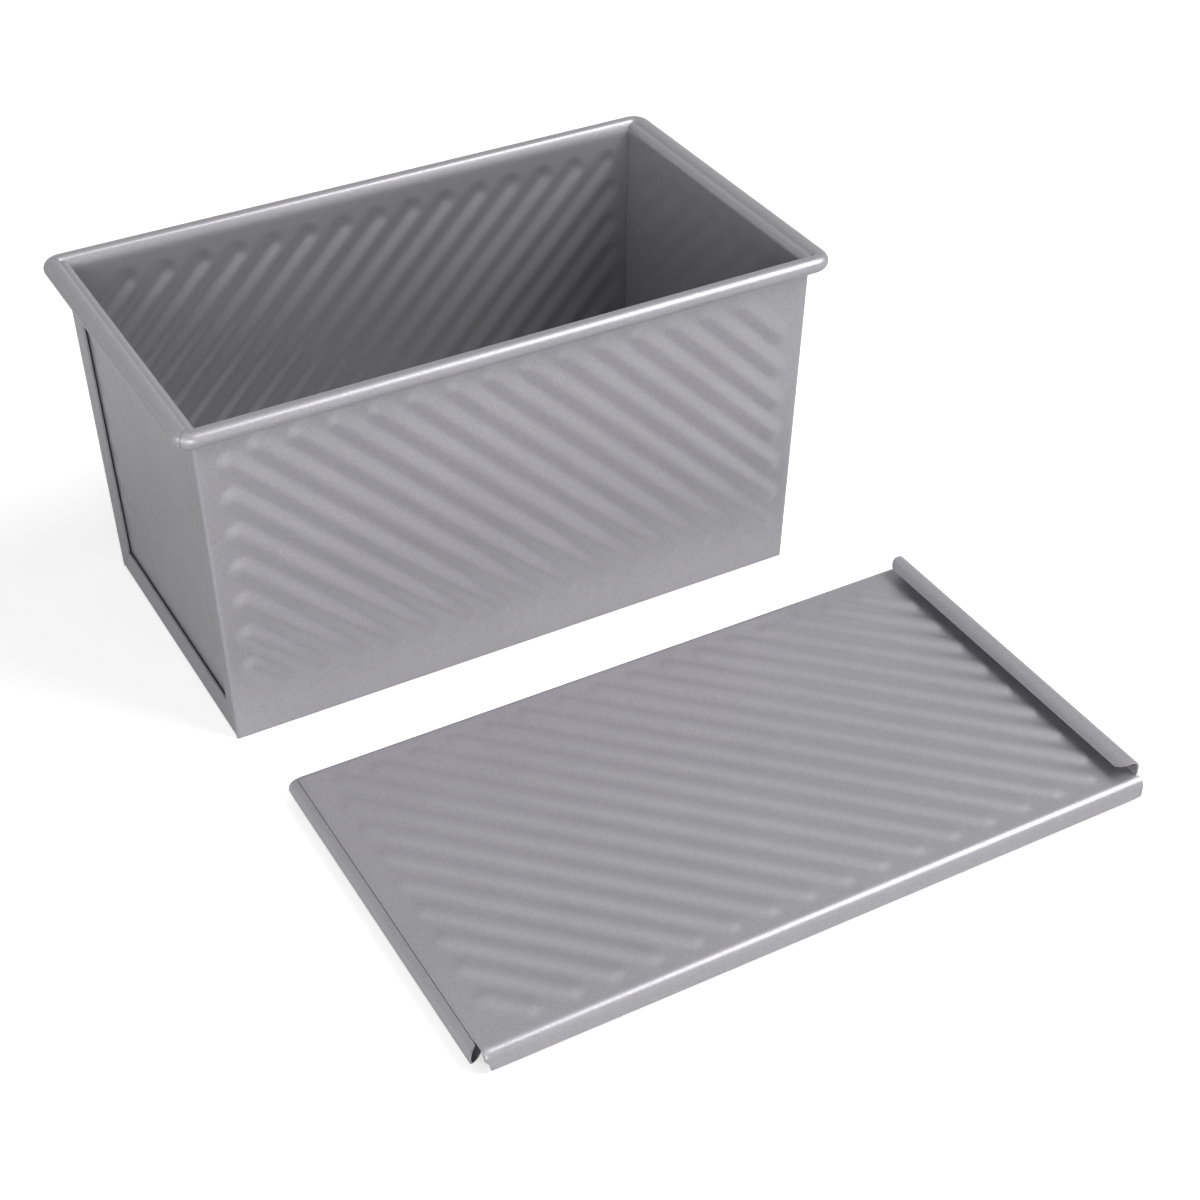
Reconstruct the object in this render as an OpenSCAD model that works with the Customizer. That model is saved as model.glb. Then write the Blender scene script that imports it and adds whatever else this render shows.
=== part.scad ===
// Pullman loaf pan: a folded steel pan with a wired rim, and its sliding lid lying beside it.
// Millimetres. The origin is the middle of the pan's underside, +X runs along the pan, +Y to the back.

/* [Pan] */
// Outside length of the pan at the base, over the folded end strips
base_l = 197; // [160:1:300]
// Outside width of the pan at the base
base_w = 105.5; // [85:0.5:150]
// Outside length at the top of the end strips
top_l = 203; // [160:1:306]
// Outside width at the top of the end strips
top_w = 110.4; // [85:0.1:156]
// Height of the end strips, which stop just under the rolled rim
strip_top = 110.2; // [70:0.1:150]
// Thickness of the coated steel sheet
sheet_t = 0.6; // [0.5:0.05:0.8]

/* [Folded ends] */
// Width of the upright strips folded over each end wall
strip_w = 8.5; // [6:0.5:14]
// Height of the bottom strip folded over each end wall
strip_h = 9.5; // [6:0.5:14]
// Depth of the dark gap between the strips and the end wall
end_gap = 1.2; // [0.8:0.1:2]
// Width of the mitre line where two strips meet
mitre_w = 0.4; // [0.2:0.1:0.8]
// Length of sheet left whole between the mitre line and the corner
mitre_start = 1.6; // [1:0.1:3]

/* [Rolled rim] */
// Width of the rolled rim
roll_w = 5.95; // [5.6:0.05:7]
// Height of the rolled rim
roll_h = 5.15; // [4.8:0.05:5.5]
// Gap between the top of the end strips and the underside of the rolled rim
strip_clear = 0.25; // [0.1:0.05:1]
// Gap where the rolled edge comes back to the wall
roll_gap = 0.3; // [0.2:0.05:0.5]
// How far under the middle of the roll a wall runs into it
roll_lap = 0.4; // [0.3:0.05:0.6]
// Radius left inside each corner of the rolled rim
corner_r = 0.4; // [0.3:0.05:1.5]
// Turn left open at each side of a corner seam, in degrees
seam_turn = 0.8; // [0.4:0.1:2]
// Width of the rounded shelf between each end wall and its rolled rim
shelf_w = 2.4; // [2.3:0.1:4.5]
// Drop from the crest of the rolled rim to the shelf
shelf_drop = 1; // [0.7:0.1:1.4]
// How far the shelf laps into the rolled rim
shelf_lap = 0.8; // [0.7:0.02:0.84]
// Clearance round the wire inside the roll, on the radius
wire_clear = 0.08; // [0.05:0.01:0.3]

/* [Pressed ribs] */
// Distance from one slanting rib to the next, square to the ribs
rib_pitch = 8.7; // [7:0.1:12]
// Width of a rib
rib_w = 4.6; // [3.5:0.1:6]
// Height of a rib, pressed out of the sheet
rib_rise = 0.4; // [0.2:0.05:0.45]
// Shortest rib, between the middles of its round ends
rib_min = 4; // [2:0.5:10]
// Plain margin beside the ribs on a wall
wall_margin = 4; // [3:0.5:10]
// Plain margin under the ribs on a wall
foot_margin = 14; // [10:0.5:25]
// Plain margin between the ribs and the rolled rim
head_margin = 3.5; // [2.5:0.5:10]
// Plain margin round the ribs on the base
base_margin = 10; // [6:0.5:20]
// Plain margin at the ends of the lid's ribs
lid_end_margin = 6; // [5:0.5:15]
// Plain margin at the sides of the lid's ribs
lid_side_margin = 3.5; // [2:0.5:12]
// Shift of the first rib along the front wall
front_rib_shift = 9; // [0:0.1:12]
// Shift of the first rib along the back wall
back_rib_shift = 1; // [0:0.1:12]
// Shift of the first rib along the end walls
end_rib_shift = 3; // [0:0.1:12]
// Shift of the first rib along the base
base_rib_shift = 6.1; // [0:0.1:12]
// Shift of the first rib along the lid
lid_rib_shift = 4.9; // [0:0.1:12]

/* [Lid] */
// Gap between the rolled rim and each side of the lid when it is shut
side_clear = 0.85; // [0.3:0.05:1.5]
// Spare height in the lid's channels over the rolled rim
channel_play = 1.85; // [0.8:0.05:3]
// Radius of the lid's rounded channel, outside
channel_r = 2.7; // [1.2:0.1:3.2]
// How far the channel's lower lip reaches in
channel_lip = 4.6; // [3.8:0.1:7]
// How far the channels start in from the lid's left edge
channel_in = 1; // [0.9:0.1:3]
// How much shorter than the rim the shut lid is
lid_short = 0.95; // [0.5:0.05:3]
// Outside diameter of the rolled stop under the lid's left edge
stop_d = 5; // [4:0.1:5.6]
// How far the middle of the rolled stop stands out past the lid's left edge
stop_out = 0.35; // [0.1:0.05:0.8]
// Height of the rolled stop over the table
stop_lift = 0.55; // [0.3:0.05:1]
// How far the rolled stop ends short of the lid's sides
stop_short = 4.4; // [3:0.1:10]
// Slant of the rolled stop's cut ends, across its width
stop_slant = 5; // [2:0.5:8]
// Height of the lid's turned-up end over the flat
lip_h = 5.7; // [5:0.1:9]
// Width of the curled lip
lip_w = 6.8; // [5.5:0.1:10]
// Radius of the curled lip, outside
lip_r = 3; // [1.5:0.1:4]
// How far the curled lip ends short of each rounded channel
lip_short = 0.4; // [0.2:0.1:5]
// Outside radius of the lid's small bends
bend_r = 0.95; // [0.9:0.05:1.5]

/* [Lid on the table] */
// Gap between the pan's rim and the lid lying in front of it
lid_apart = 24.2; // [10:0.1:60]
// How far the lid's left edge lies to the right of the rim's left side
lid_offset = 15; // [0:0.5:40]

/* [Hidden] */
$fn = 64;
coat = [0.60, 0.60, 0.62];
steel = [0.72, 0.72, 0.72];
reach = 400;
slop = 1;

// Lean of the long walls and of the end walls, in degrees
side_tilt = atan((top_w - base_w) / 2 / strip_top);
end_tilt = atan((top_l - base_l) / 2 / strip_top);

// Rolled rim: its middle height, and its inner lines along the pan and across it
roll_z = strip_top + strip_clear + roll_h / 2;
rim_top = roll_z + roll_h / 2;
roll_y = base_w / 2 + roll_z * tan(side_tilt) - sheet_t / cos(side_tilt);
shelf_z = rim_top - shelf_drop;
arc_z = shelf_z - shelf_w;
end_in = 2 * sheet_t + end_gap;
roll_x = base_l / 2 + arc_z * tan(end_tilt) - end_in / cos(end_tilt) + shelf_w;
rim_l = 2 * (roll_x + roll_w);
rim_w = 2 * (roll_y + roll_w);
wire_d = roll_h - 2 * sheet_t - 2 * wire_clear;

// Straight runs of the rim, from the middle of a side to where its corner starts
long_half = roll_x - corner_r;
short_half = roll_y - corner_r;
wall_end = long_half - sheet_t / 2;

// How far a rib is rooted in the sheet behind it
rib_root = (sheet_t - rib_rise) / 2;

// Lid: its outside width and height, and its length from the rolled stop's inner side to the turned-up end
lid_w = rim_w + 2 * side_clear + 2 * sheet_t;
lid_h = roll_h + channel_play + 2 * sheet_t;
lid_l = rim_l - lid_short + stop_d / 2 - stop_out;
lid_x = lid_offset - rim_l / 2;
lid_y = -rim_w / 2 - lid_apart - lid_w / 2;
flat_z = lid_h - sheet_t;
flat_w = lid_w - 2 * channel_r;
flat_run = lid_l / 2;
stop_z = stop_lift + stop_d / 2;

// Everything more than inset behind the plane of a wall that leans out over -Y
module behind_wall(half, tilt, inset) {
    translate([0, -half, 0])
        rotate([90 + tilt, 0, 0])
            translate([-reach, -reach, -inset - 2 * reach])
                cube(2 * reach);
}

// Everything more than inset behind one end of the pan, on the side given by turn
module behind_end(turn, inset) {
    rotate([0, 0, turn])
        behind_wall(base_l / 2, end_tilt, inset);
}

// The room between the two long walls
module between_sides(inset) {
    intersection() {
        behind_wall(base_w / 2, side_tilt, inset);
        rotate([0, 0, 180])
            behind_wall(base_w / 2, side_tilt, inset);
    }
}

// A solid with the pan's outline, drawn in by the two insets and cut off level at both heights
module tub(side_inset, end_inset, low, high) {
    intersection() {
        between_sides(side_inset);
        behind_end(-90, end_inset);
        behind_end(90, end_inset);
        translate([-reach, -reach, low])
            cube([2 * reach, 2 * reach, high - low]);
    }
}

// One rib's outline, from its start, running down to the right
module rib(start, run) {
    translate(start)
        rotate(-45) {
            translate([0, -rib_w / 2])
                square([run, rib_w]);
            circle(d = rib_w);
            translate([run, 0])
                circle(d = rib_w);
        }
}

// Ribs that fill the field from low to high corner, counted from where x + y is shift
module rib_field(low, high, shift) {
    r = rib_w / 2;
    x0 = low[0] + r;
    y0 = low[1] + r;
    x1 = high[0] - r;
    y1 = high[1] - r;
    step = rib_pitch * sqrt(2);
    first = ceil((x0 + y0 - shift) / step);
    last = floor((x1 + y1 - shift) / step);
    for (i = [first : last]) {
        s = shift + i * step;
        xa = max(x0, s - y1);
        xb = min(x1, s - y0);
        if ((xb - xa) * sqrt(2) >= rib_min)
            rib([xa, s - xa], (xb - xa) * sqrt(2));
    }
}

// Places a flat drawing on a leaning wall: x along it, y up it, z out of its outer face
module on_wall(half, tilt) {
    translate([0, -half, 0])
        rotate([90 + tilt, 0, 0])
            children();
}

// The slanting ribs of a long wall, from low to high out of its outer face
module side_ribs(shift, low, high) {
    on_wall(base_w / 2, side_tilt)
        translate([0, 0, low])
            linear_extrude(high - low)
                rib_field(
                    [-base_l / 2 + wall_margin, foot_margin],
                    [base_l / 2 - wall_margin, strip_top - head_margin],
                    shift
                );
}

// The slanting ribs of an end wall, which lies behind the strips, from low to high out of its face
module end_ribs(low, high) {
    half = base_w / 2 - strip_w;
    on_wall(base_l / 2, end_tilt)
        translate([0, 0, low - sheet_t - end_gap])
            linear_extrude(high - low)
                rib_field([-half, foot_margin], [half, strip_top - head_margin], end_rib_shift);
}

// The slanting ribs of the base, pressed up into the pan, between two heights
module base_ribs(low, high) {
    half_l = base_l / 2 - end_in - base_margin;
    half_w = base_w / 2 - base_margin;
    translate([0, 0, low])
        linear_extrude(high - low)
            rib_field([-half_l, -half_w], [half_l, half_w], base_rib_shift);
}

// Opening between the strips of an end, through the folded sheet
module end_window() {
    half = base_w / 2 - strip_w;
    grow = tan(side_tilt);
    on_wall(base_l / 2, end_tilt)
        translate([0, 0, -sheet_t - slop / 2])
            linear_extrude(sheet_t + slop)
                polygon([
                    [-half - strip_h * grow, strip_h],
                    [half + strip_h * grow, strip_h],
                    [half + rim_top * grow, rim_top],
                    [-half - rim_top * grow, rim_top]
                ]);
}

// Mitre lines at the two bottom corners of an end
module mitres() {
    run = norm([strip_w, strip_h]);
    on_wall(base_l / 2, end_tilt)
        translate([0, 0, -sheet_t - slop / 2])
            linear_extrude(sheet_t + slop)
                for (side = [-1, 1])
                    translate([side * base_w / 2, 0])
                        rotate(90 + side * atan2(strip_w, strip_h))
                            translate([mitre_start, -mitre_w / 2])
                                square([run + slop - mitre_start, mitre_w]);
}

// The rim's rolled sheet: x is the distance out from its inner line, y the height from its middle
module roll_section() {
    r = roll_h / 2;
    bore = r - sheet_t;
    difference() {
        union() {
            translate([r, 0])
                circle(r);
            translate([roll_w - r, 0])
                circle(r);
            translate([r, -r])
                square([roll_w - roll_h, roll_h]);
        }
        translate([r, 0])
            circle(bore);
        translate([roll_w - r, 0])
            circle(bore);
        translate([r, -bore])
            square([roll_w - roll_h, 2 * bore]);
        translate([sheet_t / 2, -roll_h])
            square([sheet_t / 2 + roll_gap, roll_h - roll_lap - sheet_t / 2]);
    }
}

// Half of a rim corner behind the middle, on the right (side 1) or left (side -1), from turn degrees on
module corner_roll(side, turn) {
    translate([side * long_half, short_half, roll_z])
        rotate([0, 0, turn])
            rotate_extrude(angle = 45 - seam_turn)
                translate([corner_r, 0])
                    roll_section();
}

// Rolled rim of the back wall with its two half corners, made as two mirrored halves
module long_roll() {
    for (flip = [0, 1])
        mirror([flip, 0, 0]) {
            translate([-long_half, roll_y, roll_z])
                rotate([90, 0, 90])
                    linear_extrude(long_half)
                        roll_section();
            corner_roll(-1, 90);
        }
}

// Rolled rim of the right end with its two half corners, made as two mirrored halves
module short_roll() {
    for (flip = [0, 1])
        mirror([0, flip, 0]) {
            translate([roll_x, short_half, roll_z])
                rotate([90, 0, 0])
                    linear_extrude(short_half)
                        roll_section();
            corner_roll(1, 0);
        }
}

// A quarter of a bent sheet round the origin, in the quarter that starts at turn degrees
module quarter_bend(r, turn) {
    rotate(turn)
        intersection() {
            difference() {
                circle(r);
                circle(r - sheet_t);
            }
            square(r);
        }
}

// Rounded shelf that leads the right end wall out to its rolled rim
module end_shelf() {
    intersection() {
        translate([roll_x, reach, 0])
            rotate([90, 0, 0])
                linear_extrude(2 * reach) {
                    translate([0, arc_z])
                        quarter_bend(shelf_w, 90);
                    translate([0, shelf_z - sheet_t])
                        square([shelf_lap, sheet_t]);
                }
        between_sides(sheet_t);
    }
}

// Front wall, base and back wall in one sheet, with strips folded over the ends
module body_sheet() {
    color(coat) {
        difference() {
            tub(0, 0, 0, roll_z - roll_lap);
            tub(sheet_t, sheet_t, sheet_t, roll_z + slop);
            tub(sheet_t, -slop, strip_top, roll_z + slop);
            for (side = [-1, 1])
                translate([side * (wall_end + reach), 0, strip_top + reach])
                    cube(2 * reach, center = true);
            for (turn = [-90, 90])
                rotate([0, 0, turn]) {
                    end_window();
                    mitres();
                }
            side_ribs(front_rib_shift, -sheet_t - slop, rib_rise - sheet_t);
            rotate([0, 0, 180])
                side_ribs(back_rib_shift, -sheet_t - slop, rib_rise - sheet_t);
            base_ribs(-slop, rib_rise);
        }
        side_ribs(front_rib_shift, -rib_root, rib_rise);
        rotate([0, 0, 180])
            side_ribs(back_rib_shift, -rib_root, rib_rise);
        base_ribs(sheet_t - rib_root, sheet_t + rib_rise);
        for (turn = [0, 180])
            rotate([0, 0, turn])
                long_roll();
    }
}

// Right end wall: a ribbed panel with edges turned out under the strips and a rolled top
module end_wall() {
    color(coat) {
        difference() {
            union() {
                intersection() {
                    tub(sheet_t, sheet_t + end_gap, sheet_t, arc_z);
                    translate([0, -reach, 0])
                        cube([reach, 2 * reach, reach]);
                }
                difference() {
                    tub(sheet_t, sheet_t, sheet_t, strip_top);
                    tub(2 * sheet_t, -slop, 2 * sheet_t, strip_top + slop);
                }
            }
            behind_end(90, end_in);
            rotate([0, 0, 90])
                end_ribs(-sheet_t - slop, rib_rise - sheet_t);
        }
        rotate([0, 0, 90])
            end_ribs(-rib_root, rib_rise);
        end_shelf();
        short_roll();
    }
}

module end_wall_right() {
    end_wall();
}

module end_wall_left() {
    rotate([0, 0, 180])
        end_wall();
}

// Closed wire loop that stiffens the rolled rim, made as four mirrored quarters
module rim_wire() {
    mid = roll_w / 2;
    color(steel)
        translate([0, 0, roll_z])
            for (x = [0, 1], y = [0, 1])
                mirror([x, 0, 0])
                    mirror([0, y, 0]) {
                        translate([0, roll_y + mid, 0])
                            rotate([0, 90, 0])
                                cylinder(h = long_half, d = wire_d);
                        translate([roll_x + mid, short_half, 0])
                            rotate([90, 0, 0])
                                cylinder(h = short_half, d = wire_d);
                        translate([long_half, short_half, 0])
                            rotate_extrude(angle = 90)
                                translate([corner_r + mid, 0])
                                    circle(d = wire_d);
                    }
}

// A rectangle with round corners, its middle at the origin
module round_rect(w, h, r) {
    square([w, h - 2 * r], center = true);
    square([w - 2 * r, h], center = true);
    for (x = [-1, 1], y = [-1, 1])
        translate([x * (w / 2 - r), y * (h / 2 - r)])
            circle(r);
}

// The lid across its width: a flat with a rounded channel along each side
module lid_section() {
    translate([0, lid_h / 2])
        difference() {
            round_rect(lid_w, lid_h, channel_r);
            round_rect(lid_w - 2 * sheet_t, lid_h - 2 * sheet_t, channel_r - sheet_t);
            translate([0, -lid_h / 2])
                square([lid_w - 2 * channel_lip, 2 * (sheet_t + slop)], center = true);
        }
}

// The turned-up end and its curled lip: x runs along the lid, y up
module lip_section() {
    top = lid_h + lip_h;
    translate([lid_l - bend_r - slop, flat_z])
        square([slop, sheet_t]);
    translate([lid_l - bend_r, flat_z + bend_r])
        quarter_bend(bend_r, -90);
    translate([lid_l - sheet_t, flat_z + bend_r])
        square([sheet_t, top - lip_r - flat_z - bend_r]);
    translate([lid_l - lip_r, top - lip_r])
        quarter_bend(lip_r, 0);
    translate([lid_l - lip_w, top - sheet_t])
        square([lip_w - lip_r, sheet_t]);
}

// The rolled stop under the left edge: x runs along the lid, y up
module stop_section() {
    translate([bend_r, flat_z])
        square([slop, sheet_t]);
    translate([bend_r, lid_h - bend_r])
        quarter_bend(bend_r, 90);
    translate([0, stop_z + stop_d / 2 - sheet_t])
        square([sheet_t, lid_h - bend_r - stop_z - stop_d / 2 + sheet_t]);
    translate([-stop_out, stop_z])
        difference() {
            circle(d = stop_d);
            circle(d = stop_d - 2 * sheet_t);
            translate([stop_out - roll_gap, 0])
                square([roll_gap, stop_d]);
        }
}

// The plan that the rolled stop is cut to, with slanting ends
module stop_plan() {
    x0 = -stop_out - stop_d / 2 - slop;
    x1 = -stop_out + stop_d / 2 + slop;
    y0 = lid_w / 2 - stop_short + slop * stop_slant / stop_d;
    y1 = y0 - (x1 - x0) * stop_slant / stop_d;
    translate([0, 0, -slop])
        linear_extrude(lid_h + 2 * slop)
            polygon([[x0, -y0], [x1, -y1], [x1, y1], [x0, y0]]);
}

// The slanting ribs of the lid, between two heights
module lid_ribs(low, high) {
    half_l = lid_l / 2 - lid_end_margin;
    half_w = flat_w / 2 - lid_side_margin;
    translate([lid_l / 2, 0, low])
        linear_extrude(high - low)
            rib_field([-half_l, -half_w], [half_l, half_w], lid_rib_shift);
}

// Sliding lid, lying flat on the table in front of the pan
module lid() {
    color(coat)
        translate([lid_x, lid_y, 0]) {
            difference() {
                union() {
                    translate([lid_l - bend_r, 0, 0])
                        rotate([90, 0, -90])
                            linear_extrude(lid_l - bend_r - channel_in)
                                lid_section();
                    translate([bend_r, -flat_w / 2, flat_z])
                        cube([flat_run, flat_w, sheet_t]);
                }
                lid_ribs(flat_z - slop, flat_z + rib_rise);
            }
            lid_ribs(lid_h - rib_root, lid_h + rib_rise);
            translate([0, flat_w / 2 - lip_short, 0])
                rotate([90, 0, 0])
                    linear_extrude(flat_w - 2 * lip_short)
                        lip_section();
            intersection() {
                translate([0, lid_w / 2, 0])
                    rotate([90, 0, 0])
                        linear_extrude(lid_w)
                            stop_section();
                stop_plan();
            }
        }
}

body_sheet();
end_wall_left();
end_wall_right();
rim_wire();
lid();
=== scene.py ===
import bmesh
import bpy
import math
from mathutils import Matrix, Vector


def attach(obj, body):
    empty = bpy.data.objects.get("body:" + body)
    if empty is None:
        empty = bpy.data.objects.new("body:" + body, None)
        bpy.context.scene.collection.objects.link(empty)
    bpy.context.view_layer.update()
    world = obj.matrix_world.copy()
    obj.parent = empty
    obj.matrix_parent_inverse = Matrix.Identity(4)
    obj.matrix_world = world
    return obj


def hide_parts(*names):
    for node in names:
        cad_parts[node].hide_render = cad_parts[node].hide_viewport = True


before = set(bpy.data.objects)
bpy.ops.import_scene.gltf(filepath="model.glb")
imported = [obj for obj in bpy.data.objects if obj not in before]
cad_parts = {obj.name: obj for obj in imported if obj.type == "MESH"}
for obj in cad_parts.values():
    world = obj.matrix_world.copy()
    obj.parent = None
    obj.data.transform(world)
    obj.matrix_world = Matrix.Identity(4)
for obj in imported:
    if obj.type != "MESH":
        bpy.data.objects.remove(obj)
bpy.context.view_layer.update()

# Sizes are in millimetres, as in the part's source, and each mesh is scaled to metres at the end
toMetres = 0.001
halfTurn = 180
quarterTurn = 90
near = 0.01  # two points closer than this are in the same place
nearby = 0.1  # the same for places that lean or curve a little
probeHeight = 60  # where a wall is asked which way its faces look
sharpAngle = 40  # edges that turn more than this stay crisp

pan = {
    "baseLength": 197.0, "baseWidth": 105.5, "topLength": 203.0, "topWidth": 110.4,
    "stripTop": 110.2, "sheet": 0.6,
    "foldRadius": 0.55, "foldSteps": 4, "foldLeast": 0.6,  # folds under this angle stay crisp
    "stripWidth": 8.5, "stripHeight": 9.5, "endGap": 1.2, "mitreGap": 0.25,
    "tuck": 0.6,  # how far the strips' free edges lean in towards the end wall
    "baseLip": 1.2,  # part of the base that belongs to a long wall's sheet
    "touch": 0.02,  # room left where two sheets lie on each other
}

rim = {
    "width": 5.95, "height": 5.15, "stripClear": 0.25, "cornerRadius": 0.4, "seamTurn": 0.8,
    "shelfWidth": 2.4, "shelfDrop": 1.0, "backTurn": 40.0,
    "arcSteps": 9, "backSteps": 5, "cornerSteps": 9,
    "flareRadius": 8.0, "flareTurn": 30.0, "flareSteps": 5,  # a long wall's soft curve out to its rim
}

ribs = {
    "pitch": 8.7, "rise": 1.0, "rounding": 0.1, "reach": 4.3, "shortest": 4.0,
    "wallMargin": 4.0, "footMargin": 14.0, "headMargin": 3.5, "baseMargin": 10.0,
    "lidEndMargin": 6.0, "lidSideMargin": 3.5, "endInset": 3.3,
    "frontShift": 9.0, "backShift": 1.0, "endShift": 3.0, "baseShift": 6.1, "lidShift": 4.9,
    "endRise": 0.4, "baseRise": 0.8, "lidRise": 0.55, "lidRounding": 0.45,
    "cells": 14, "lidCells": 13,  # mesh cells from one rib to the next, along a wall and along the lid
}

lidSizes = {
    "sideClear": 0.85, "channelPlay": 1.85, "channelRadius": 2.7, "channelLip": 4.6,
    "channelStart": 1.9, "channelSlope": 0.65,  # where the channels' lower lips start, and their slant
    "overlap": 1.2,  # how much longer the lid is than the rim
    "bendRadius": 0.95,
    "stopDiameter": 6.0, "stopReach": 2.85, "stopLift": 1.2, "stopGap": 0.1,
    "stopShort": 3.9, "stopSlant": 0.6, "stopPast": 2.0,
    "lipHeight": 5.7, "lipWidth": 6.8, "lipRadius": 3.0, "lipShort": 0.4, "lipCorner": 3.5,
    "curlRadius": 4.2, "curlTurn": 60.0,  # the lip's free edge, which dips towards the flat
    "bendSteps": 4, "channelSteps": 7, "lipSteps": 8, "curlSteps": 6, "stopSteps": 34, "cornerCuts": 3,
    "apart": 24.2, "offset": 15.0,  # its place on the table, from the rim's front and left sides
}

# Values that follow from the sizes
sheet = pan["sheet"]
sideTilt = math.atan((pan["topWidth"] - pan["baseWidth"]) / 2 / pan["stripTop"])
endTilt = math.atan((pan["topLength"] - pan["baseLength"]) / 2 / pan["stripTop"])
rollRadius = rim["height"] / 2
rollFlat = rim["width"] - rim["height"]
rollZ = pan["stripTop"] + rim["stripClear"] + rollRadius
rimTop = rollZ + rollRadius
rollY = pan["baseWidth"] / 2 + rollZ * math.tan(sideTilt) - sheet / math.cos(sideTilt)
shelfZ = rimTop - rim["shelfDrop"]
arcZ = shelfZ - rim["shelfWidth"]
endInset = 2 * sheet + pan["endGap"]
faceX = pan["baseLength"] / 2 + arcZ * math.tan(endTilt) - endInset / math.cos(endTilt)
rollX = faceX + rim["shelfWidth"]
longHalf = rollX - rim["cornerRadius"]
shortHalf = rollY - rim["cornerRadius"]
rimLength = 2 * (rollX + rim["width"])
rimWidth = 2 * (rollY + rim["width"])
ribStep = ribs["pitch"] * math.sqrt(2)
cell = ribStep / ribs["cells"]
lidCell = ribStep / ribs["lidCells"]

# A long wall's flare: a wide arc, then a tight one up to the crest of the roll
flareSin = math.sin(math.radians(rim["flareTurn"]))
flareCos = math.cos(math.radians(rim["flareTurn"]))
flareOut = rim["flareRadius"] * (1 - flareCos)
flareUp = rim["flareRadius"] * flareSin
lean = math.tan(sideTilt)
crestShare = flareCos - lean * (1 - flareSin)
crestRadius = (rollRadius - flareOut + lean * (flareUp - rollRadius)) / crestShare
flareZ = rimTop - flareUp - crestRadius * (1 - flareSin)
flareY = rollY - (rollZ - flareZ) * lean


# Grid lines one step apart between two borders, kept clear of both, and in step with a given line
def evenLines(low, high, step=cell, start=0.0):
    first = math.ceil((low - start) / step + 0.9)
    last = math.floor((high - start) / step - 0.9)
    return [low] + [start + k * step for k in range(first, last + 1)] + [high]


# Height of the pressed ribs at a point of a sheet, in the field between two corners
def ribHeight(x, y, low, high, shift, rise=ribs["rise"], rounding=ribs["rounding"]):
    inset = ribs["endInset"]
    x0, y0, x1, y1 = low[0] + inset, low[1] + inset, high[0] - inset, high[1] - inset
    index = round((x + y - shift) / ribStep)
    line = shift + index * ribStep
    start, end = max(x0, line - y1), min(x1, line - y0)
    if (end - start) * math.sqrt(2) < ribs["shortest"]:
        return 0.0
    middle = (x - y + line) / 2  # x of the nearest point on the rib's line
    beyond = max(0.0, start - middle, middle - end) * math.sqrt(2)
    aside = (x + y - line) / math.sqrt(2)
    t = math.hypot(aside, beyond) / ribs["reach"]
    if t >= 1:
        return 0.0
    if t > 1 - rounding:
        slope = (1 - t) ** 2 / (2 * rounding)
    elif t > rounding:
        slope = 1 - t - rounding / 2
    else:
        slope = 1 - rounding - t * t / (2 * rounding)
    return rise * slope / (1 - rounding)


# A flat grid with its columns and rows at the given lines
def sheetGrid(bm, xLines, yLines, z=0.0):
    columns, rows = len(xLines) - 1, len(yLines) - 1
    made = bmesh.ops.create_grid(bm, x_segments=columns, y_segments=rows, size=0.5)
    for v in made["verts"]:
        v.co.x = xLines[round((v.co.x + 0.5) * columns)]
        v.co.y = yLines[round((v.co.y + 0.5) * rows)]
        v.co.z = z
    return made["verts"]


# Free edges whose two ends both pass a test of their place
def border(bm, test):
    return [e for e in bm.edges if e.is_boundary and all(test(v.co) for v in e.verts)]


# Carries the sheet straight on from its free edges, and gives the new free edges
def run(bm, edges, offset):
    made = bmesh.ops.extrude_edge_only(bm, edges=edges)["geom"]
    fresh = {g for g in made if isinstance(g, bmesh.types.BMVert)}
    bmesh.ops.translate(bm, vec=offset, verts=list(fresh))
    return [g for g in made if isinstance(g, bmesh.types.BMEdge) and set(g.verts) <= fresh]


# Bends the sheet on from its free edges round an axis, and gives the new free edges
def bend(bm, edges, centre, axis, degrees, steps):
    angle = math.radians(degrees)
    made = bmesh.ops.spin(
        bm, geom=edges, cent=centre, axis=axis, angle=angle, steps=steps, use_duplicate=False
    )
    return [g for g in made["geom_last"] if isinstance(g, bmesh.types.BMEdge)]


def verts(edges):
    return list({v for e in edges for v in e.verts})


# Faces whose middle passes a test of its place
def patch(bm, test):
    return [f for f in bm.faces if test(f.calc_center_median())]


# Cuts some faces off along a plane, on the side that its normal points to
def trim(bm, faces, point, normal):
    edges = list({e for f in faces for e in f.edges})
    corners = list({v for f in faces for v in f.verts})
    bmesh.ops.bisect_plane(
        bm, geom=faces + edges + corners, dist=near / 10,
        plane_co=point, plane_no=normal, clear_outer=True,
    )


# Rounds the sharp folds of a sheet
def roundFolds(bm):
    folds = [e for e in bm.edges if not e.is_boundary and e.calc_face_angle(0) > pan["foldLeast"]]
    bmesh.ops.bevel(
        bm, geom=folds, offset=pan["foldRadius"], offset_type="OFFSET", affect="EDGES",
        segments=pan["foldSteps"], profile=0.5, material=-1,
    )


# Stands a flat sheet up as a wall that leans out over -Y, as the part's source does
def place(bm, half, tilt):
    turn = Matrix.Rotation(math.pi / 2 + tilt, 4, "X")
    bmesh.ops.transform(bm, matrix=Matrix.Translation((0, -half, 0)) @ turn, verts=bm.verts)


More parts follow.
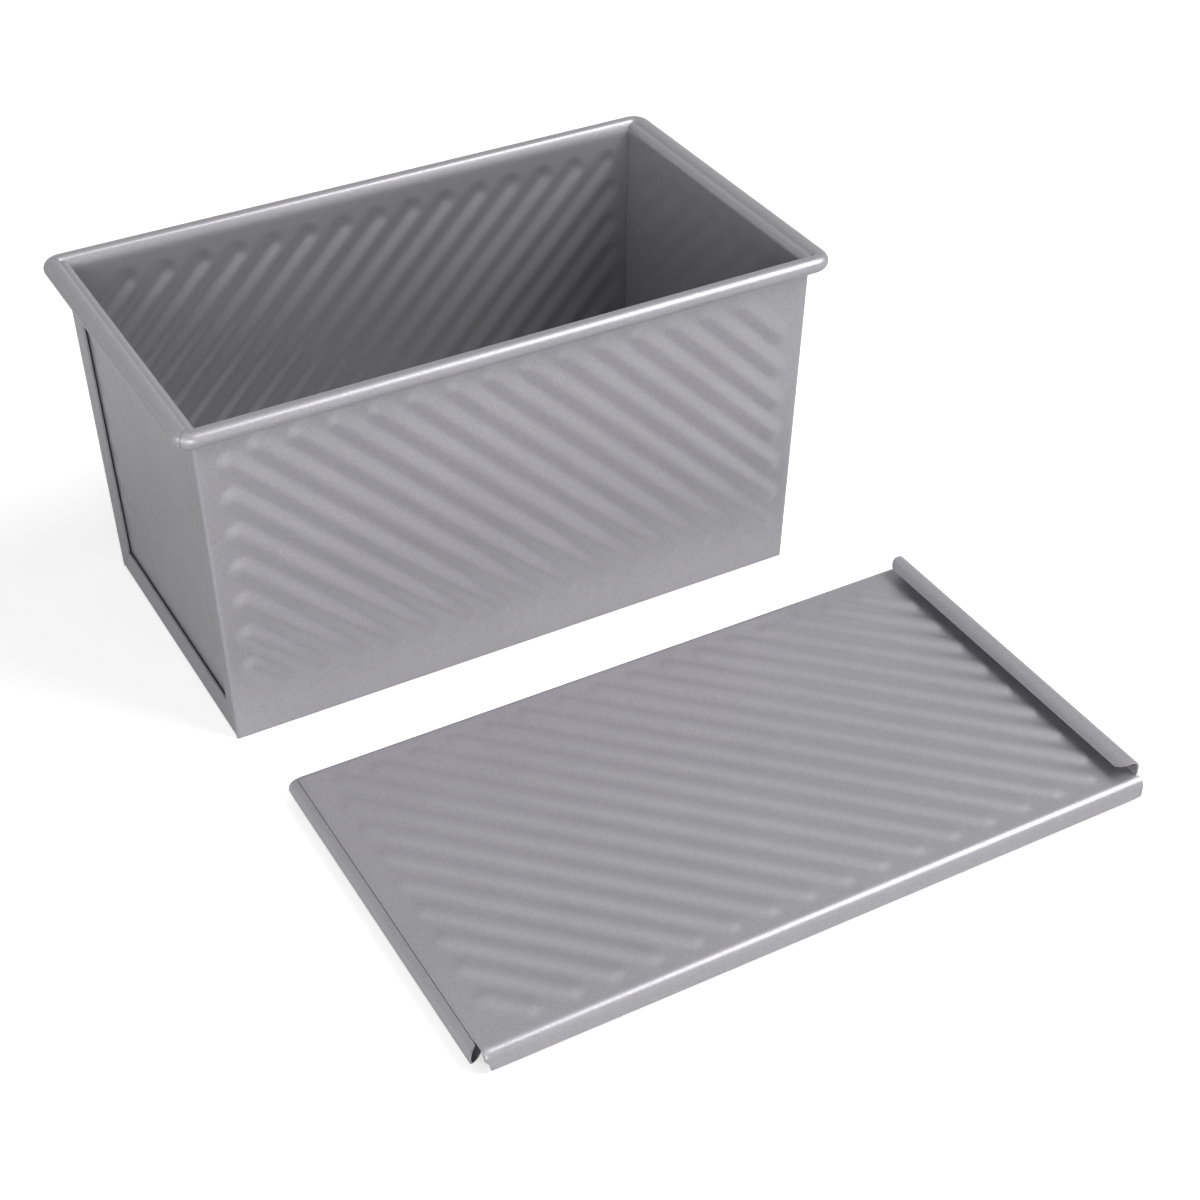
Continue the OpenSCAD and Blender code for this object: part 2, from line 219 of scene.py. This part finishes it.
# Gives the sheet its thickness behind the modelled face, which looks towards facing near the probe,
# and makes it a piece
def finishSheet(bm, name, body, material, nodes, probe, facing, turn=0, at=(0, 0, 0)):
    bmesh.ops.remove_doubles(bm, verts=bm.verts, dist=near)
    bmesh.ops.recalc_face_normals(bm, faces=bm.faces)
    nearest = min(bm.faces, key=lambda f: (f.calc_center_median() - Vector(probe)).length)
    if nearest.normal.dot(Vector(facing)) < 0:
        bmesh.ops.reverse_faces(bm, faces=bm.faces)
    matrix = Matrix.Translation(at) @ Matrix.Rotation(math.radians(turn), 4, "Z")
    bmesh.ops.transform(bm, matrix=matrix, verts=bm.verts)
    bmesh.ops.scale(bm, vec=(toMetres, toMetres, toMetres), verts=bm.verts)
    for f in bm.faces:
        f.smooth = True
    mesh = bpy.data.meshes.new(name)
    bm.to_mesh(mesh)
    bm.free()
    piece = bpy.data.objects.new(name, mesh)
    bpy.context.scene.collection.objects.link(piece)
    shell = piece.modifiers.new("sheet", "SOLIDIFY")
    shell.thickness = sheet * toMetres
    shell.offset = -1
    shell.use_even_offset = True
    evaluated = piece.evaluated_get(bpy.context.evaluated_depsgraph_get())
    solid = bpy.data.meshes.new_from_object(evaluated)
    piece.modifiers.clear()
    piece.data = solid
    solid.name = name
    solid.set_sharp_from_angle(angle=math.radians(sharpAngle))
    solid.materials.clear()
    solid.materials.append(material)
    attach(piece, body)
    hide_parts(*nodes)
    triangles = sum(len(p.vertices) - 2 for p in solid.polygons)
    print(name, len(solid.vertices), "points,", triangles, "triangles")


# Materials

coat = {
    "colour": (0.344, 0.338, 0.36), "metallic": 0.5, "ior": 1.45,
    "roughness": 0.38, "roughnessSpread": 0.05, "roughnessScale": 800,
    "speckleScale": 1500, "speckle": 0.08, "cloudScale": 22, "cloud": 0.03,
    "grainScale": 1100, "grainStrength": 0.2, "grainHeight": 0.00006,
    "noiseRoughness": 0.6, "noiseLow": 0.3, "noiseHigh": 0.7,
}

wireFinish = {"colour": (0.45, 0.45, 0.45), "roughness": 0.3}


# Silver non-stick coating: a fine metallic speckle in a matte coat
def coatMaterial(name, colour, roughness):
    material = bpy.data.materials.new(name)
    material.use_nodes = True
    nodes, links = material.node_tree.nodes, material.node_tree.links
    shader = nodes["Principled BSDF"]
    shader.inputs["Metallic"].default_value = coat["metallic"]
    shader.inputs["IOR"].default_value = coat["ior"]
    where = nodes.new("ShaderNodeTexCoord").outputs["Object"]

    def noise(scale, detail):
        node = nodes.new("ShaderNodeTexNoise")
        node.inputs["Scale"].default_value = scale
        node.inputs["Detail"].default_value = detail
        node.inputs["Roughness"].default_value = coat["noiseRoughness"]
        links.new(where, node.inputs["Vector"])
        return node.outputs["Fac"]

    def spread(source, low, high):
        node = nodes.new("ShaderNodeMapRange")
        node.inputs["From Min"].default_value = coat["noiseLow"]
        node.inputs["From Max"].default_value = coat["noiseHigh"]
        node.inputs["To Min"].default_value = low
        node.inputs["To Max"].default_value = high
        links.new(source, node.inputs["Value"])
        return node.outputs["Result"]

    def times(a, b):
        node = nodes.new("ShaderNodeMath")
        node.operation = "MULTIPLY"
        links.new(a, node.inputs[0])
        links.new(b, node.inputs[1])
        return node.outputs["Value"]

    speckle = spread(noise(coat["speckleScale"], 2), 1 - coat["speckle"], 1 + coat["speckle"])
    cloud = spread(noise(coat["cloudScale"], 3), 1 - coat["cloud"], 1 + coat["cloud"])
    tint = nodes.new("ShaderNodeMix")
    tint.data_type = "RGBA"
    tint.blend_type = "MULTIPLY"
    tint.inputs["Factor"].default_value = 1
    tint.inputs["A"].default_value = (*colour, 1)
    links.new(times(speckle, cloud), tint.inputs["B"])
    links.new(tint.outputs["Result"], shader.inputs["Base Color"])
    low, high = roughness - coat["roughnessSpread"], roughness + coat["roughnessSpread"]
    links.new(spread(noise(coat["roughnessScale"], 2), low, high), shader.inputs["Roughness"])
    bump = nodes.new("ShaderNodeBump")
    bump.inputs["Strength"].default_value = coat["grainStrength"]
    bump.inputs["Distance"].default_value = coat["grainHeight"]
    links.new(noise(coat["grainScale"], 3), bump.inputs["Height"])
    links.new(bump.outputs["Normal"], shader.inputs["Normal"])
    return material


panCoat = coatMaterial("panCoat", coat["colour"], coat["roughness"])
lidCoat = coatMaterial("lidCoat", coat["colour"], coat["roughness"])
wireSteel = coatMaterial("wireSteel", wireFinish["colour"], wireFinish["roughness"])
print("materials made")


# Pan

alongX = (1, 0, 0)


# How far out a long wall's inner face lies at a height, with its flare
def innerLine(z):
    up = z - flareZ
    if up <= 0:
        return pan["baseWidth"] / 2 + z * lean - sheet / math.cos(sideTilt)
    wide = rim["flareRadius"]
    if up <= flareUp:
        return flareY + wide - math.sqrt(wide ** 2 - up ** 2)
    over = up - (wide - crestRadius) * flareSin
    back = math.sqrt(max(0.0, crestRadius ** 2 - over ** 2))
    return flareY + wide - (wide - crestRadius) * flareCos - back


# Carries a sheet from the crest of the rim round its outer side and back to the wall
def rollDown(bm, edges, inner):
    middle = (0, -(inner + rollRadius), rollZ)
    far = (0, -(inner + rim["width"] - rollRadius), rollZ)
    edges = run(bm, edges, (0, -rollFlat, 0))
    edges = bend(bm, edges, far, alongX, halfTurn, 2 * rim["arcSteps"])
    edges = run(bm, edges, (0, rollFlat, 0))
    return bend(bm, edges, middle, alongX, rim["backTurn"], rim["backSteps"])


# Carries the rolled rim round half of each corner, up to the seam
def rollCorners(bm, half, pivot, test):
    for side in (-1, 1):
        ends = border(bm, lambda co: abs(co.x - side * half) < near and test(co))
        turn = side * (quarterTurn / 2 - rim["seamTurn"])
        bend(bm, ends, (side * half, -pivot, 0), (0, 0, 1), turn, rim["cornerSteps"])


# Moves the ends of a row of edges to the same distance on both sides
def setEnds(edges, distance):
    row = verts(edges)
    limit = max(abs(v.co.x) for v in row) - near
    for v in row:
        if abs(v.co.x) > limit:
            v.co.x = math.copysign(distance, v.co.x)


# Width of the upright strip at a height, cut back by the mitre near the base
def sideStripWidth(z):
    low = pan["baseLip"] + sheet
    grown = (z - sheet) / (pan["stripHeight"] - sheet)
    width = low + (pan["stripWidth"] - low) * min(1.0, max(0.0, grown))
    return width - (pan["mitreGap"] if 0 < grown < 1 else 0)


# A long wall with its ribs, its share of the base, the strips at its ends and its rolled rim
def longWall(name, shift, turn):
    half = pan["baseWidth"] / 2

    def along(z):  # distance up the leaning wall that reaches a height
        return (z - sheet * math.sin(sideTilt)) / math.cos(sideTilt)

    field = (
        (-pan["baseLength"] / 2 + ribs["wallMargin"], ribs["footMargin"]),
        (pan["baseLength"] / 2 - ribs["wallMargin"], pan["stripTop"] - ribs["headMargin"]),
    )
    edge = pan["baseLength"] / 2 - sheet
    bm = bmesh.new()
    yLines = evenLines(along(sheet), along(pan["stripTop"]), cell, shift % cell)
    sheetGrid(bm, evenLines(-edge, edge), yLines, -sheet)
    for v in bm.verts:
        x, y = v.co.x, v.co.y
        if abs(x) > edge - near:
            v.co.x = math.copysign(edge + y * math.cos(sideTilt) * math.tan(endTilt), x)
        else:
            v.co.z += ribHeight(x, y, *field, shift)
    place(bm, half, sideTilt)
    run(bm, border(bm, lambda co: co.z < sheet + near), (0, pan["baseLip"], 0))
    for side in (-1, 1):
        ends = border(
            bm, lambda co: co.x * side > edge - nearby and -co.y > innerLine(co.z) - nearby / 2
        )
        for v in verts(run(bm, ends, (0, 0, 0))):
            across = sideStripWidth(v.co.z) - sheet
            v.co.y += across
            v.co.x -= side * pan["tuck"] * across / (pan["stripWidth"] - sheet)
    bmesh.ops.remove_doubles(bm, verts=bm.verts, dist=near)
    roundFolds(bm)
    top = pan["stripTop"]
    edges = border(bm, lambda co: co.z > top - near and abs(-co.y - innerLine(top)) < near)
    edges = run(bm, edges, (0, -(flareZ - top) * lean, flareZ - top))
    setEnds(edges, longHalf)
    wide = rim["flareRadius"]
    edges = bend(bm, edges, (0, -flareY - wide, flareZ), alongX, rim["flareTurn"], rim["flareSteps"])
    inwards = wide - crestRadius  # from the wide arc's middle to the tight one's
    tight = (0, -flareY - wide + inwards * flareCos, flareZ + inwards * flareSin)
    edges = bend(bm, edges, tight, alongX, quarterTurn - rim["flareTurn"], rim["arcSteps"])
    rollDown(bm, edges, rollY)
    rollCorners(bm, longHalf, shortHalf, lambda co: co.z > flareZ - near or -co.y > rollY + sheet)
    probe = (0, -rollY, probeHeight)
    finishSheet(bm, name, "pan", panCoat, ["body_sheet"], probe, (0, 1, 0), turn)


# The ribbed base with the bottom strips folded up over both ends
def baseSheet():
    lip = sheet + pan["baseLip"]
    edge = pan["baseLength"] / 2 - sheet + sheet * math.tan(endTilt)
    halfWidth = pan["baseWidth"] / 2 - lip + sheet * lean
    fieldX = pan["baseLength"] / 2 - endInset - ribs["baseMargin"]
    fieldY = pan["baseWidth"] / 2 - ribs["baseMargin"]
    field = ((-fieldX, -fieldY), (fieldX, fieldY))
    bm = bmesh.new()
    yLines = evenLines(-halfWidth, halfWidth, lidCell, ribs["baseShift"] % lidCell)
    sheetGrid(bm, evenLines(-edge, edge, lidCell), yLines, sheet)
    for v in bm.verts:
        v.co.z += ribHeight(v.co.x, v.co.y, *field, ribs["baseShift"], ribs["baseRise"])
    rise = pan["stripHeight"] - sheet
    topHalf = pan["baseWidth"] / 2 + pan["stripHeight"] * lean - pan["stripWidth"]
    for side in (-1, 1):
        ends = border(bm, lambda co: co.x * side > edge - near)
        for v in verts(run(bm, ends, (side * (rise * math.tan(endTilt) - pan["tuck"]), 0, rise))):
            v.co.y *= topHalf / halfWidth
    roundFolds(bm)
    probe = (0, 0, sheet)
    finishSheet(bm, "baseSheet", "pan", panCoat, ["body_sheet"], probe, (0, 0, 1))


# An end wall behind the strips, with its flanges, its rounded shelf and its rolled rim
def endWall(name, node, turn):
    half = pan["baseLength"] / 2

    def along(z):
        return (z - endInset * math.sin(endTilt)) / math.cos(endTilt)

    def face(z):  # how far out the wall's inner face lies at a height
        return half + z * math.tan(endTilt) - endInset / math.cos(endTilt)

    edge = pan["baseWidth"] / 2 - sheet / math.cos(sideTilt) - pan["touch"]
    foot = sheet + pan["touch"]
    ribHalf = pan["baseWidth"] / 2 - pan["stripWidth"]
    field = ((-ribHalf, ribs["footMargin"]), (ribHalf, pan["stripTop"] - ribs["headMargin"]))
    bm = bmesh.new()
    yLines = evenLines(along(foot), along(pan["stripTop"]), cell, ribs["endShift"] % cell)
    sheetGrid(bm, evenLines(-edge, edge), yLines, -endInset)
    for v in bm.verts:
        x, y = v.co.x, v.co.y
        if abs(x) > edge - near:
            v.co.x = math.copysign(edge + y * math.cos(endTilt) * lean, x)
        else:
            v.co.z += ribHeight(x, y, *field, ribs["endShift"], ribs["endRise"])
    place(bm, half, endTilt)
    deep = endInset - sheet - pan["touch"]
    flange = border(bm, lambda co: co.z < foot + near or abs(co.x) > edge - nearby)
    flange = [e for e in flange if min(v.co.z for v in e.verts) < pan["stripTop"] - near]
    run(bm, flange, (0, -deep * math.cos(endTilt), -deep * math.sin(endTilt)))
    roundFolds(bm)
    top = pan["stripTop"]
    edges = border(bm, lambda co: co.z > top - near and abs(-co.y - face(top)) < near)
    edges = run(bm, edges, (0, -(arcZ - top) * math.tan(endTilt), arcZ - top))
    shelf = bend(bm, edges, (0, -rollX, arcZ), alongX, quarterTurn, rim["arcSteps"])
    for v in bm.verts:  # the shelf runs into the long walls' flare
        if v.co.z > arcZ - near and abs(v.co.x) > edge - nearby:
            v.co.x = math.copysign(innerLine(v.co.z) + sheet / 2, v.co.x)
    reach = math.sqrt(rollRadius ** 2 - (shelfZ - rollZ) ** 2)
    edges = run(bm, shelf, (0, reach - rollRadius, 0))
    setEnds(edges, shortHalf)
    rise = quarterTurn - math.degrees(math.asin((shelfZ - rollZ) / rollRadius))
    edges = bend(bm, edges, (0, -(rollX + rollRadius), rollZ), alongX, rise, rim["flareSteps"])
    rollDown(bm, edges, rollX)
    inner = rollX + rollRadius - reach - near
    rollCorners(bm, shortHalf, longHalf, lambda co: -co.y > inner)
    probe = (0, -face(probeHeight), probeHeight)
    finishSheet(bm, name, "pan", panCoat, [node], probe, (0, 1, 0), turn)


longWall("frontWall", ribs["frontShift"], 0)
longWall("backWall", ribs["backShift"], halfTurn)
baseSheet()
endWall("endWallRight", "end_wall_right", quarterTurn)
endWall("endWallLeft", "end_wall_left", -quarterTurn)
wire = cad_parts["rim_wire"]
wire.data.materials.clear()
wire.data.materials.append(wireSteel)
print("pan made")


# Lid

alongY = (0, 1, 0)


# The lid in one sheet: ribbed flat, rounded channels, rolled stop and curled lip
def lidSheet():
    s = lidSizes
    width = rimWidth + 2 * s["sideClear"] + 2 * sheet
    height = rim["height"] + s["channelPlay"] + 2 * sheet
    length = rimLength + s["overlap"]
    flatZ = height - sheet
    flatHalf = width / 2 - s["channelRadius"]
    foldZ = flatZ - (s["bendRadius"] - sheet)  # where the fold at the left edge ends
    bendTop = height - s["channelRadius"]  # where a channel's upper bend ends
    left, right = s["bendRadius"], length - s["bendRadius"]
    middle = length / 2
    field = (
        (-middle + ribs["lidEndMargin"], -flatHalf + ribs["lidSideMargin"]),
        (middle - ribs["lidEndMargin"], flatHalf - ribs["lidSideMargin"]),
    )
    bm = bmesh.new()
    lipHalf = flatHalf - s["lipShort"]
    yLines = evenLines(-flatHalf, flatHalf, lidCell, ribs["lidShift"] % lidCell)
    yLines = [yLines[0], -lipHalf] + yLines[1:-1] + [lipHalf, yLines[-1]]
    xLines = [x + middle for x in evenLines(left - middle, right - middle, lidCell)]
    sheetGrid(bm, xLines, yLines, flatZ)
    for v in bm.verts:
        x, y = v.co.x - middle, v.co.y
        v.co.z += ribHeight(x, y, *field, ribs["lidShift"], ribs["lidRise"], ribs["lidRounding"])
    # Fold at the left edge
    edges = border(bm, lambda co: co.x < left + near)
    bend(bm, edges, (left, 0, foldZ), alongY, -quarterTurn, s["bendSteps"])
    # Channels along both sides, with slanting ends
    for side in (-1, 1):
        edges = border(bm, lambda co: co.y * side > flatHalf - near)
        y = side * flatHalf
        turn = -side * quarterTurn
        edges = bend(bm, edges, (0, y, bendTop), alongX, turn, s["channelSteps"])
        edges = run(bm, edges, (0, 0, s["channelRadius"] - bendTop))
        edges = bend(bm, edges, (0, y, s["channelRadius"]), alongX, turn, s["channelSteps"])
        run(bm, edges, (0, -side * (s["channelLip"] - s["channelRadius"]), 0))
        channel = patch(bm, lambda co: co.y * side > 0 and co.z < bendTop)
        trim(bm, channel, (sheet, 0, bendTop), (-1, 0, -s["channelStart"] / bendTop))
        lower = [f for f in channel if f.is_valid and f.calc_center_median().z < near]
        trim(bm, lower, (sheet + s["channelStart"], y, 0), (-1, -side * s["channelSlope"], 0))
    ends = border(
        bm, lambda co: co.x > right - near and (abs(co.y) > flatHalf - near or co.z < flatZ - near)
    )
    run(bm, ends, (s["bendRadius"], 0, 0))
    # Curled lip at the right end
    lipTop = height + s["lipHeight"]
    lipX, lipZ = length - s["lipRadius"], lipTop - s["lipRadius"]
    edges = border(
        bm, lambda co: abs(co.x - right) < near and abs(co.y) < lipHalf + near and co.z > flatZ - near
    )
    edges = bend(bm, edges, (right, 0, flatZ + s["bendRadius"]), alongY, -quarterTurn, s["bendSteps"])
    edges = run(bm, edges, (0, 0, lipZ - flatZ - s["bendRadius"]))
    edges = bend(bm, edges, (lipX, 0, lipZ), alongY, -quarterTurn, s["lipSteps"])
    level = s["lipWidth"] - s["lipRadius"] - s["curlRadius"] * math.sin(math.radians(s["curlTurn"]))
    edges = run(bm, edges, (-level, 0, 0))
    curl = (lipX - level, 0, lipTop - s["curlRadius"])
    bend(bm, edges, curl, alongY, -s["curlTurn"], s["curlSteps"])
    # The corners of its free edge are rounded, in a few cuts
    corner = s["lipCorner"]
    for side in (-1, 1):
        centre = Vector((length - s["lipWidth"] + corner, side * (lipHalf - corner), 0))
        for cut in range(1, s["cornerCuts"] + 1):
            angle = math.radians(quarterTurn * cut / (s["cornerCuts"] + 1))
            out = Vector((-math.cos(angle), side * math.sin(angle), 0))
            trim(bm, patch(bm, lambda co: co.z > height + 1), centre + corner * out, out)
    # Rolled stop under the left edge: its near end slants, and its far end runs on to the lid's corner
    stopRadius = s["stopDiameter"] / 2
    stopX = stopRadius - s["stopReach"]
    stopZ = s["stopLift"] + stopRadius
    stopEnd = stopX + stopRadius
    fold = border(bm, lambda co: co.x < sheet + near and co.z > foldZ - near)
    edges = [e for e in fold if all(abs(v.co.y) < flatHalf + near for v in e.verts)]
    start = math.acos((sheet - stopX) / stopRadius)
    edges = run(bm, edges, (0, 0, stopZ + stopRadius * math.sin(start) - foldZ))
    closing = math.degrees(math.asin((stopX + s["stopGap"]) / stopRadius))
    turn = math.degrees(start) + 3 * quarterTurn - closing
    bend(bm, edges, (stopX, 0, stopZ), alongY, turn, s["stopSteps"])
    tube = patch(bm, lambda co: co.x < stopEnd and co.z < foldZ and abs(co.y) < flatHalf)
    trim(bm, tube, (-s["stopReach"], s["stopShort"] - width / 2, 0), (s["stopSlant"], -1, 0))
    ends = border(bm, lambda co: abs(co.y - flatHalf) < near and co.x < stopEnd and co.z < foldZ + near)
    run(bm, ends, (0, s["stopPast"], 0))
    at = (s["offset"] - rimLength / 2, -rimWidth / 2 - s["apart"] - width / 2, 0)
    probe = (middle, 0, flatZ)
    finishSheet(bm, "lidSheet", "lid", lidCoat, ["lid"], probe, (0, 0, -1), 0, at)


lidSheet()
print("lid made")


# Floor, light and camera

studio = {
    "floorSize": 30.0, "floorColour": 0.8, "floorRoughness": 0.9, "floorSpecular": 0.1,
    "floorGlow": 0.52, "glowNear": 0.5, "glowFar": 1.6,  # what the camera sees added, full past glowFar
    "worldDiffuse": 0.3, "horizon": 1.0, "halfway": 0.55, "overhead": 0.9,
    "horizonAt": 0.15, "halfwayFrom": 0.45, "halfwayTo": 0.68, "overheadAt": 0.9,
    "aim": (0, -0.08, 0.03),
    "keyPower": 20.0, "keyPlace": (0.8, -0.63, 1.12), "keySize": 1.0,
    "fillPower": 9.5, "fillPlace": (-0.6, -1.4, 0.35), "fillSize": 0.8,
    "sidePower": 2.0, "sidePlace": (-0.8, -0.3, 0.4), "sideSize": 0.5,
}


def floorMaterial():
    material = bpy.data.materials.new("paleFloor")
    material.use_nodes = True
    nodes, links = material.node_tree.nodes, material.node_tree.links
    shader = nodes["Principled BSDF"]
    tone = studio["floorColour"]
    shader.inputs["Base Color"].default_value = (tone, tone, tone, 1)
    shader.inputs["Roughness"].default_value = studio["floorRoughness"]
    shader.inputs["Specular IOR Level"].default_value = studio["floorSpecular"]
    shader.inputs["Emission Color"].default_value = (1, 1, 1, 1)
    path = nodes.new("ShaderNodeLightPath")
    distance = nodes.new("ShaderNodeVectorMath")
    distance.operation = "LENGTH"
    links.new(nodes.new("ShaderNodeTexCoord").outputs["Object"], distance.inputs[0])
    fade = nodes.new("ShaderNodeMapRange")  # the floor runs out to plain white
    fade.interpolation_type = "SMOOTHSTEP"
    fade.inputs["From Min"].default_value = studio["glowNear"]
    fade.inputs["From Max"].default_value = studio["glowFar"]
    fade.inputs["To Min"].default_value = studio["floorGlow"]
    fade.inputs["To Max"].default_value = 1
    links.new(distance.outputs["Value"], fade.inputs["Value"])
    glow = nodes.new("ShaderNodeMath")
    glow.operation = "MULTIPLY"
    links.new(path.outputs["Is Camera Ray"], glow.inputs[0])
    links.new(fade.outputs["Result"], glow.inputs[1])
    links.new(glow.outputs["Value"], shader.inputs["Emission Strength"])
    return material


def makeFloor():
    bm = bmesh.new()
    bmesh.ops.create_grid(bm, x_segments=1, y_segments=1, size=studio["floorSize"] / 2)
    mesh = bpy.data.meshes.new("floor")
    bm.to_mesh(mesh)
    bm.free()
    floor = bpy.data.objects.new("floor", mesh)
    bpy.context.scene.collection.objects.link(floor)
    mesh.materials.append(floorMaterial())


def makeWorld():
    world = bpy.data.worlds.new("studio")
    bpy.context.scene.world = world
    world.use_nodes = True
    nodes, links = world.node_tree.nodes, world.node_tree.links
    background = nodes["Background"]
    path = nodes.new("ShaderNodeLightPath")
    # What gloss sees: a white horizon, a dimmer band half way up, and a lit ceiling
    height = nodes.new("ShaderNodeSeparateXYZ")
    links.new(nodes.new("ShaderNodeTexCoord").outputs["Generated"], height.inputs["Vector"])
    ramp = nodes.new("ShaderNodeValToRGB")
    stops = ramp.color_ramp.elements
    stops[0].position, stops[1].position = studio["horizonAt"], studio["overheadAt"]
    for stop, tone in ((stops[0], studio["horizon"]), (stops[1], studio["overhead"])):
        stop.color = (tone, tone, tone, 1)
    tone = studio["halfway"]
    for position in (studio["halfwayFrom"], studio["halfwayTo"]):
        stops.new(position).color = (tone, tone, tone, 1)
    links.new(height.outputs["Z"], ramp.inputs["Fac"])
    glossy = nodes.new("ShaderNodeMath")
    glossy.operation = "MULTIPLY"
    links.new(path.outputs["Is Glossy Ray"], glossy.inputs[0])
    links.new(ramp.outputs["Color"], glossy.inputs[1])
    plain = nodes.new("ShaderNodeMath")
    plain.operation = "SUBTRACT"
    plain.inputs[0].default_value = 1
    links.new(path.outputs["Is Glossy Ray"], plain.inputs[1])
    level = nodes.new("ShaderNodeMapRange")
    level.inputs["To Min"].default_value = studio["worldDiffuse"]
    level.inputs["To Max"].default_value = 1
    links.new(path.outputs["Is Camera Ray"], level.inputs["Value"])
    rest = nodes.new("ShaderNodeMath")
    rest.operation = "MULTIPLY_ADD"
    links.new(level.outputs["Result"], rest.inputs[0])
    links.new(plain.outputs["Value"], rest.inputs[1])
    links.new(glossy.outputs["Value"], rest.inputs[2])
    links.new(rest.outputs["Value"], background.inputs["Strength"])
    background.inputs["Color"].default_value = (1, 1, 1, 1)


def makeLamp(name, lampPlace, size, power):
    lamp = bpy.data.lights.new(name, "AREA")
    lamp.size = size
    lamp.energy = power
    holder = bpy.data.objects.new(name, lamp)
    holder.location = lampPlace
    aim = Vector(studio["aim"]) - Vector(lampPlace)
    holder.rotation_euler = aim.to_track_quat("-Z", "Y").to_euler()
    bpy.context.scene.collection.objects.link(holder)


view = {
    "sensor": 36, "lens": 66.065,  # 2202 pixels on a picture 1200 pixels wide
    "place": (-0.25014, -0.55483, 0.43879), "degrees": (53.052, 0.167, -29.112), "nearest": 0.01,
}


def makeCamera():
    lens = bpy.data.cameras.new("photoView")
    lens.sensor_width = view["sensor"]
    lens.lens = view["lens"]
    lens.clip_start = view["nearest"]
    camera = bpy.data.objects.new("photoView", lens)
    camera.location = view["place"]
    camera.rotation_euler = [math.radians(turn) for turn in view["degrees"]]
    bpy.context.scene.collection.objects.link(camera)
    bpy.context.scene.camera = camera


makeFloor()
makeWorld()
for lampName in ("key", "fill", "side"):
    lampPlace, size, power = (studio[lampName + part] for part in ("Place", "Size", "Power"))
    makeLamp(lampName + "Lamp", lampPlace, size, power)
makeCamera()
bpy.context.scene.view_settings.view_transform = "Standard"
print("studio made")
